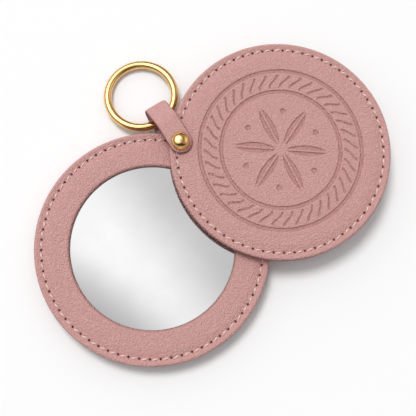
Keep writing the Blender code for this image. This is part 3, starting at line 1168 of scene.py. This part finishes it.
@dataclass
class StrapLoop:
    """Leather band cut flat with round ends and soft edges, then folded round the ring."""

    bearing: float = math.radians(122.0)
    thickness: float = 1.1 * MM
    width: float = 7.0 * MM
    reach: float = 15.237 * MM
    fold_inner: float = 2.6 * MM
    shoulder_inner: float = 3.5 * MM
    shoulder_start: float = 6.987 * MM
    lower_base: float = 1.1 * MM
    upper_base: float = 10.65 * MM
    edge_width: float = 0.85 * MM
    edge_drop: float = 0.46 * MM
    # Painted shade along the cut edge, and how far in it reaches
    edge_shade_width: float = 0.38 * MM
    edge_shade: float = 0.55
    bore_radius: float = 1.45 * MM
    step: float = 0.3 * MM
    fold_steps: int = 40
    shoulder_steps: int = 24
    end_steps: int = 14
    across: int = 34
    crowding: float = 0.8

    def path(self) -> np.ndarray:
        """Middle line of the folded band in its own upright plane.

        Returns:
            Its points, from the lower end to the upper one.
        """
        middle = self.thickness / 2
        fold, shoulder = self.fold_inner + middle, self.shoulder_inner + middle
        fold_x, fold_z = self.reach - fold - middle, self.lower_base + middle + fold
        shoulder_x, shoulder_z = self.shoulder_start, self.upper_base + middle - shoulder
        run, rise = fold_x - shoulder_x, shoulder_z - fold_z
        lean = math.atan2(run, rise) + math.asin((fold - shoulder) / math.hypot(run, rise))
        end = -self.width / 2
        points = [(end, self.lower_base + middle), (fold_x, self.lower_base + middle)]
        for angle in np.linspace(-QUARTER, lean, self.fold_steps)[1:]:
            points.append((fold_x + fold * math.cos(angle), fold_z + fold * math.sin(angle)))
        for angle in np.linspace(lean, QUARTER, self.shoulder_steps):
            out, up = shoulder * math.cos(angle), shoulder * math.sin(angle)
            points.append((shoulder_x + out, shoulder_z + up))
        return np.array([*points, (end, self.upper_base + middle)])

    def section(self, away: float) -> float:
        """Half thickness of the band at a distance from its rounded cut edge."""
        left = 1 - min(max(away / self.edge_width, 0.0), 1.0)
        return self.thickness / 2 - self.edge_drop * (1 - math.sqrt(1 - left**2))

    def mesh(self) -> bpy.types.Mesh:
        """Lays points along and across the band, on both its sides.

        Returns:
            The mesh before it is bored, with the painted shade along its edges.
        """
        line = self.path()
        along = np.concatenate([[0], np.cumsum(np.hypot(*np.diff(line, axis=0).T))])
        columns = (*line.T, *np.gradient(line, along, axis=0).T)
        length, half = along[-1], self.width / 2
        bow = half * (1 - np.cos(np.linspace(0, QUARTER, self.end_steps)))
        plain = np.arange(half, length - half, self.step)
        places = np.unique(np.concatenate([bow, plain, length - bow]).round(9))
        sides = np.sin(np.linspace(-QUARTER, QUARTER, self.across + 1))
        sides = np.sign(sides) * np.abs(sides) ** self.crowding
        points: list[tuple[float, ...]] = []
        stains_and_shade: list[float] = []
        grid: dict[tuple[int, int, int], int] = {}
        turn = Matrix.Rotation(self.bearing, 3, "Z")
        for i, s in enumerate(places):
            end = min(s, length - s)
            reach = half if end >= half else math.sqrt(max(half**2 - (half - end) ** 2, 0))
            x, z, tangent_x, tangent_z = (np.interp(s, along, column) for column in columns)
            norm = math.hypot(tangent_x, tangent_z)
            for j, side in enumerate(sides):
                w = side * reach
                away = half - math.hypot(half - end, w) if end < half else half - abs(w)
                if reach < 1e-9 or abs(side) == 1:
                    away = 0.0
                for face, lift in enumerate((self.section(away), -self.section(away))):
                    if reach < 1e-9 and j > 0:
                        grid[i, j, face] = grid[i, 0, face]
                        continue
                    grid[i, j, face] = len(points)
                    place = Vector((x + tangent_z / norm * lift, w, z - tangent_x / norm * lift))
                    points.append(tuple(turn @ place))
                    # Painted shade along the cut edge, fading over its width
                    stains_and_shade.append(self.edge_shade * max(0.0, 1 - away / self.edge_shade_width))
        mesh = bpy.data.meshes.new("strap_band")
        mesh.from_pydata(points, [], self.faces(grid, len(places), len(sides)))
        mesh.attributes.new("stain", "FLOAT", "POINT").data.foreach_set("value", stains_and_shade)
        return mesh

    def faces(
        self, grid: dict[tuple[int, int, int], int], rows: int, columns: int
    ) -> list[tuple[int, ...]]:
        """Faces of the band's two sides and of the narrow wall round its cut edge.

        Args:
            grid: Number of the point at each row, column and side.
            rows: Number of rows along the band.
            columns: Number of columns across it.

        Returns:
            The faces, without those that have shrunk to a line.
        """
        corners = []
        for i in range(rows - 1):
            for j in range(columns - 1):
                corners.append(((i, j, 0), (i, j + 1, 0), (i + 1, j + 1, 0), (i + 1, j, 0)))
                corners.append(((i, j, 1), (i + 1, j, 1), (i + 1, j + 1, 1), (i, j + 1, 1)))
            for j in (0, columns - 1):
                corners.append(((i, j, 0), (i, j, 1), (i + 1, j, 1), (i + 1, j, 0)))
        unique = [tuple(dict.fromkeys(grid[corner] for corner in face)) for face in corners]
        return [face for face in unique if len(face) > 2]

    def build(self) -> None:
        """Makes the band, turns its faces outwards and bores it."""
        mesh = self.mesh()
        shape = bmesh.new()
        shape.from_mesh(mesh)
        bmesh.ops.recalc_face_normals(shape, faces=shape.faces)
        shape.to_mesh(mesh)
        shape.free()
        piece = link_piece("strap_band", mesh, Finish.LEATHER.material)
        cut_bore(piece, self.bore_radius, 0, 20 * MM)
        seat(piece, "pivot_strap", "leather", "strap_loop")


@dataclass
class DoubleCapRivet:
    """Brass rivet whose domed and flat caps are pressed over the flanges of a socket and a post."""

    metal: float = 0.3 * MM
    lip: float = 0.9 * MM
    steps: int = 96
    dome_power: float = 2.05
    dome_reach: float = 0.985
    dome_steps: int = 18
    dome_turn: float = 0.2 * MM
    hollow_reach: float = 0.9
    hollow_least: float = 0.25
    hollow_steps: int = 6
    flat_turn: float = 0.35 * MM
    flat_steps: int = 5
    flat_bevel: float = 0.12 * MM
    flat_middle: float = 0.4

    def front(self) -> None:
        """Domed cap, turned under at its foot."""
        low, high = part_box("rivet_front_cap")
        radius, rise, turn = high.x, high.z - low.z, self.dome_turn
        inner, floor = radius - self.metal - turn, low.z + self.metal
        line = [(0, high.z)]
        for i in range(1, self.dome_steps + 1):
            angle = QUARTER * self.dome_reach * i / self.dome_steps
            out, up = (wave(angle) ** (2 / self.dome_power) for wave in (math.sin, math.cos))
            line.append((radius * out, low.z + turn + (rise - turn) * up))
        line += [(radius, low.z + turn), (radius - turn / 3, low.z + turn / 3), (radius - turn, low.z)]
        line += [(radius - self.lip, low.z), (radius - self.lip, floor), (inner, floor)]
        for i in range(self.hollow_steps, -1, -1):
            angle = QUARTER * self.hollow_reach * i / self.hollow_steps
            up = max(math.cos(angle), self.hollow_least)
            line.append((inner * math.sin(angle), floor + (rise - 2 * self.metal) * up))
        self.cap("rivet_domed_cap", line, "rivet_front_cap")

    def back(self) -> None:
        """Flat cap with a rounded edge, turned over at its rim."""
        low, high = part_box("rivet_back_cap")
        radius, turn, bevel = high.x, self.flat_turn, self.flat_bevel
        inner, floor, lip = radius - self.metal, low.z + self.metal, high.z - self.metal
        line = [(0, floor), (inner, floor), (inner, lip), (radius - self.lip, lip)]
        line += [(radius - self.lip, high.z), (radius - bevel, high.z), (radius, high.z - bevel)]
        for i in range(self.flat_steps + 1):
            angle = QUARTER * i / self.flat_steps
            line.append((radius - turn + turn * math.cos(angle), low.z + turn - turn * math.sin(angle)))
        line += [(radius * self.flat_middle, low.z), (0, low.z)]
        self.cap("rivet_flat_cap", line, "rivet_back_cap")

    def cap(self, name: str, line: Sequence[tuple[float, float]], node: str) -> None:
        """Turns one cap from its outline and rides it on the strap's body.

        Args:
            name: Name of the piece.
            line: Radii and heights along its outline.
            node: CAD node that it replaces.
        """
        rows = [Row(radius, height, self.steps) for radius, height in line]
        mesh = turned_mesh(name, rows, Vector((0, 0, 0)))
        seat(link_piece(name, mesh, Finish.BRASS.material), "pivot_strap", "brass", node)

    def build(self) -> None:
        """Builds both caps; the socket and post stay as CAD nodes."""
        self.front()
        self.back()


@dataclass
class KeyRing:
    """Closed ring of round brass wire, butt-welded where the strap hides it."""

    radius: float = 10.4 * MM
    wire: float = 1.25 * MM
    seat_place: tuple[float, float, float] = (-5.5043 * MM, 8.8087 * MM, 3.55 * MM)
    bearing: float = math.radians(130.0)

    def build(self) -> None:
        """Makes the ring, leans it from the strap's fold to the table and rides it on its body."""
        drop = math.asin((self.seat_place[2] - self.wire) / (2 * self.radius))
        place = Matrix.Translation(self.seat_place) @ Matrix.Rotation(self.bearing, 4, "Z")
        place = place @ Matrix.Rotation(drop, 4, "Y") @ Matrix.Translation((self.radius, 0, 0))
        brass = Finish.BRASS.material
        values = {"Ring Radius": self.radius, "Wire Radius": self.wire, "Material": brass}
        piece = RingNodes().make("key_ring_wire", place, values)
        seat(piece, "key_ring", "brass", "key_ring")


def dress_hidden_nodes() -> None:
    """Gives every CAD node that stays its own material."""
    finishes = {
        "mirror_board_ring": Finish.BOARD,
        "mirror_base_board": Finish.BOARD,
        "mirror_adhesive_pad": Finish.ADHESIVE,
        "cover_board": Finish.BOARD,
        "cover_foam_pad": Finish.FOAM,
        "rivet_socket": Finish.BRASS,
        "rivet_post": Finish.BRASS,
    }
    for name, finish in finishes.items():
        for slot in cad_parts[name].material_slots:
            slot.material = finish.material
        log.info("%s keeps its CAD shape with %s", name, finish.value.name)


# Studio


@dataclass
class Studio:
    """Pale table, soft light from the upper left, and a reflected room for metal and glass.

    The room's places are east and north on a flat map of the dome, where its zenith is (0, 0) and the
    horizon lies 1 away. A span of four numbers gives where a change starts and ends, and its values.
    """

    floor_half: float = 3.0
    floor_drop: float = 0.02 * MM
    floor_colour: str = "F6F6F6"
    backdrop_colour: str = "FDFDFD"
    sky_low: float = 0.1
    sky_high: float = 0.9
    sky_axis: tuple[float, float, float] = (-0.25, 0.34, 0.91)
    key_place: tuple[float, float, float] = (-1.15, 1.58, 4.38)
    key_size: float = 1.7
    key_power: float = 123.5
    room_radius: float = 1.5
    room_sides: int = 128
    room_dark: str = "45413D"
    room_middle: str = "8A8682"
    room_pale: str = "BDBAB6"
    room_span: tuple[float, float] = (1.0, 3.0)
    room_places: tuple[float, float, float] = (0.0, 0.2, 0.6)
    horizon_span: tuple[float, ...] = (0.0, 0.12, 1.0, 0.0)
    lamp_middle: tuple[float, float] = (-0.26, 0.16)
    lamp_half: tuple[float, float] = (0.32, 0.34)
    lamp_span: tuple[float, ...] = (0.4, 1.5, 1.0, 0.0)
    lamp_strength: float = 4.0
    stray_light: float = 0.15
    card_span: tuple[float, ...] = (0.5, 1.0, 1.0, 0.0)
    cards: tuple[tuple[tuple[float, float], tuple[float, float], str], ...] = (
        ((0.05, -0.38), (0.7, 0.22), "45413D"),
        ((0.3, 0.85), (0.6, 0.25), "45413D"),
        ((0.54, 0.16), (0.26, 0.36), WHITE),
        ((0.0, -0.84), (0.4, 0.16), "F4F0EA"),
    )
    sheet_middle: tuple[float, float] = (-0.009, 0.0535)
    sheet_half: tuple[float, float] = (0.075, 0.075)
    sheet_span: tuple[float, ...] = (1.0, 1.2, 1.0, 0.0)
    sheet_ridge: tuple[float, float] = (-0.0165, 0.0453)
    sheet_bearing: float = math.radians(39.4)
    across_span: tuple[float, ...] = (-0.0037, 0.049, 1.0, 0.6)
    down_span: tuple[float, ...] = (0.0, 0.056, 1.0, 0.9)
    shade_middle: tuple[float, float] = (-0.1714, -0.1626)
    shade_span: tuple[float, ...] = (0.213, 0.252, 0.5, 1.0)

    def floor(self) -> None:
        """Flat table top just under the object."""
        shape = bmesh.new()
        bmesh.ops.create_grid(shape, x_segments=1, y_segments=1, size=self.floor_half)
        bmesh.ops.translate(shape, vec=(0, 0, -self.floor_drop), verts=shape.verts)
        table = shape_object("table_top", shape)
        # Matt white card: chalky, with no sheen
        card = {"Base Color": linear(self.floor_colour), "Roughness": 1.0, "Specular IOR Level": 0.0}
        matt = make_material("matt_white_card", lambda add: add(PRINCIPLED, None, card))
        table.data.materials.append(matt)

    def room_light(self, add: AddNode) -> Socket:
        """Adds the reflected room, whose colour and strength follow the direction from the object.

        A round softbox hangs in the north-west before a dark room. Two dark flags hang in the south and
        north, and two pale cards low in the east and south. A soft-edged sheet hangs overhead where the
        mirror looks.

        Args:
            add: Adds a node to the room's material.

        Returns:
            The emission's socket.
        """
        place = add(COORDINATES, output="Object")
        axes = add("ShaderNodeSeparateXYZ", None, (place,)).node.outputs
        height = add(MATH, "DIVIDE", (axes["Z"], self.room_radius))
        reach = add(MATH, "ADD", (axes["Z"], self.room_radius))
        plan = add(COMBINE, None, [add(MATH, "DIVIDE", (axes[axis], reach)) for axis in "XY"])

        def away(middle: tuple[float, float], half: tuple[float, float]) -> Socket:
            """Distance from the middle of an oval, which is 1 at its edge."""
            off = add(VECTOR, "SUBTRACT", (plan, (*middle, 0.0)))
            return add(VECTOR, "LENGTH", (add(VECTOR, "DIVIDE", (off, (*half, 1.0))),), 1)

        lamp = away(self.lamp_middle, self.lamp_half)
        tones = (self.room_middle, self.room_middle, self.room_pale)
        stops = {"stops": tuple(zip(self.room_places, tones))}
        wall = add(RAMP, stops, (add(SPAN, None, (lamp, *self.room_span)),))
        for middle, half, colour in self.cards:
            card = add(SPAN, None, (away(middle, half), *self.card_span))
            wall = add(MIX, COLOURS, {0: card, 6: wall, 7: linear(colour)}, 2)
        low = add(SPAN, None, (height, *self.horizon_span))
        wall = add(MIX, COLOURS, {0: low, 6: wall, 7: linear(self.room_dark)}, 2)
        glow = add(SPAN, SMOOTH, (lamp, *self.lamp_span))
        lit = add(MIX, COLOURS, {0: glow, 6: wall, 7: linear(WHITE)}, 2)
        sheet = add(SPAN, None, (away(self.sheet_middle, self.sheet_half), *self.sheet_span))
        cross, along = math.cos(self.sheet_bearing), math.sin(self.sheet_bearing)
        off = add(VECTOR, "SUBTRACT", (plan, (*self.sheet_ridge, 0.0)))
        across = add(VECTOR, "DOT_PRODUCT", (off, (cross, along, 0.0)), 1)
        down = add(VECTOR, "DOT_PRODUCT", (off, (along, -cross, 0.0)), 1)
        falls = add(SPAN, SMOOTH, (across, *self.across_span)), add(SPAN, None, (down, *self.down_span))
        shaded = add(SPAN, SMOOTH, (away(self.shade_middle, (1.0, 1.0)), *self.shade_span))
        level = add(MATH, "MULTIPLY", (add(MATH, "MULTIPLY", falls), shaded))
        bounces = add("ShaderNodeLightPath", output="Diffuse Depth")
        direct = add(SPAN, None, (bounces, 0.0, 1.0, 1.0, self.stray_light))
        bright = add(MATH, "MULTIPLY_ADD", (glow, self.lamp_strength - 1, 1.0))
        room = add(MATH, "MULTIPLY", (bright, add(MATH, "SUBTRACT", (1.0, sheet))))
        power = add(MATH, "MULTIPLY", (add(MATH, "MULTIPLY_ADD", (sheet, level, room)), direct))
        colour = add(MIX, COLOURS, {0: sheet, 6: lit, 7: linear(WHITE)}, 2)
        return add("ShaderNodeEmission", None, (colour, power))

    def room(self) -> None:
        """Dome that only shiny surfaces see."""
        shape = bmesh.new()
        sides = {"u_segments": self.room_sides, "v_segments": self.room_sides // 2}
        bmesh.ops.create_uvsphere(shape, radius=self.room_radius, **sides)
        bmesh.ops.reverse_faces(shape, faces=shape.faces)
        room = shape_object("reflected_room", shape)
        room.data.materials.append(make_material("reflected_room", self.room_light))
        room.visible_camera = room.visible_diffuse = False
        room.visible_shadow = room.visible_transmission = False

    def sky_light(self, add: AddNode) -> Socket:
        """Adds the white behind the object, and a fill that is brightest from the upper left.

        Args:
            add: Adds a node to the world.

        Returns:
            The mixed shader's socket.
        """
        path = add("ShaderNodeLightPath").node.outputs
        seen = add(MATH, "MAXIMUM", (path["Is Camera Ray"], path["Is Transmission Ray"]))
        rise = add(VECTOR, "DOT_PRODUCT", (add(COORDINATES, output="Generated"), self.sky_axis), 1)
        strength = add(SPAN, None, {"Value": rise, "To Min": self.sky_low, "To Max": self.sky_high})
        fill = add("ShaderNodeBackground", None, (linear(WHITE), strength))
        back = add("ShaderNodeBackground", None, (linear(self.backdrop_colour), 1.0))
        return add("ShaderNodeMixShader", None, (seen, fill, back))

    def key(self) -> None:
        """Large soft lamp at the upper left, which gives the shadow at the lower right."""
        lamp = bpy.data.lights.new("key_softbox", "AREA")
        lamp.shape, lamp.size, lamp.energy = "DISK", self.key_size, self.key_power
        holder = link_object("key_softbox", lamp)
        holder.location = self.key_place
        holder.rotation_mode = "QUATERNION"
        holder.rotation_quaternion = (-Vector(self.key_place)).to_track_quat("-Z", "Y")
        holder.visible_glossy = False

    def build(self) -> None:
        """Sets up the whole studio."""
        scene = bpy.context.scene
        scene.view_settings.view_transform = "Standard"
        scene.world = shade(bpy.data.worlds.new("studio_sky"), "ShaderNodeOutputWorld", self.sky_light)
        self.floor()
        self.room()
        self.key()


@dataclass(frozen=True)
class Viewpoint:
    """Camera of the photograph, worked out from the object's outlines."""

    eye: tuple[float, float, float] = (-5.0 * MM, -65.1 * MM, 261.5 * MM)
    aim: tuple[float, float, float] = (8.43 * MM, -19.07 * MM, 6.0 * MM)
    focal_pixels: float = 865.7
    image_pixels: float = 416.0
    sensor_mm: float = 36.0
    clip: tuple[float, float] = (0.01, 20.0)

    def build(self) -> None:
        """Makes the camera, level with the photograph's sides, and gives it to the scene."""
        data = bpy.data.cameras.new("photograph_camera")
        data.sensor_fit = "HORIZONTAL"
        data.sensor_width = self.sensor_mm
        data.lens = self.focal_pixels * self.sensor_mm / self.image_pixels
        data.clip_start, data.clip_end = self.clip
        camera = link_object("photograph_camera", data)
        eye, aim = Vector(self.eye), Vector(self.aim)
        back = (eye - aim).normalized()
        right = Vector((0, 1, 0)).cross(back).normalized()
        turned = Matrix((right, back.cross(right), back)).transposed().to_4x4()
        camera.matrix_world = Matrix.Translation(eye) @ turned
        bpy.context.scene.camera = camera


def main() -> None:
    """Builds the object and its studio."""
    logging.basicConfig(level=logging.INFO, format="%(name)s: %(message)s")
    Viewpoint().build()
    Studio().build()
    stitches = StitchNodes()
    MirrorHalf().build(stitches)
    Cover().build(stitches)
    StrapLoop().build()
    DoubleCapRivet().build()
    KeyRing().build()
    dress_hidden_nodes()


if __name__ == "__main__":
    main()
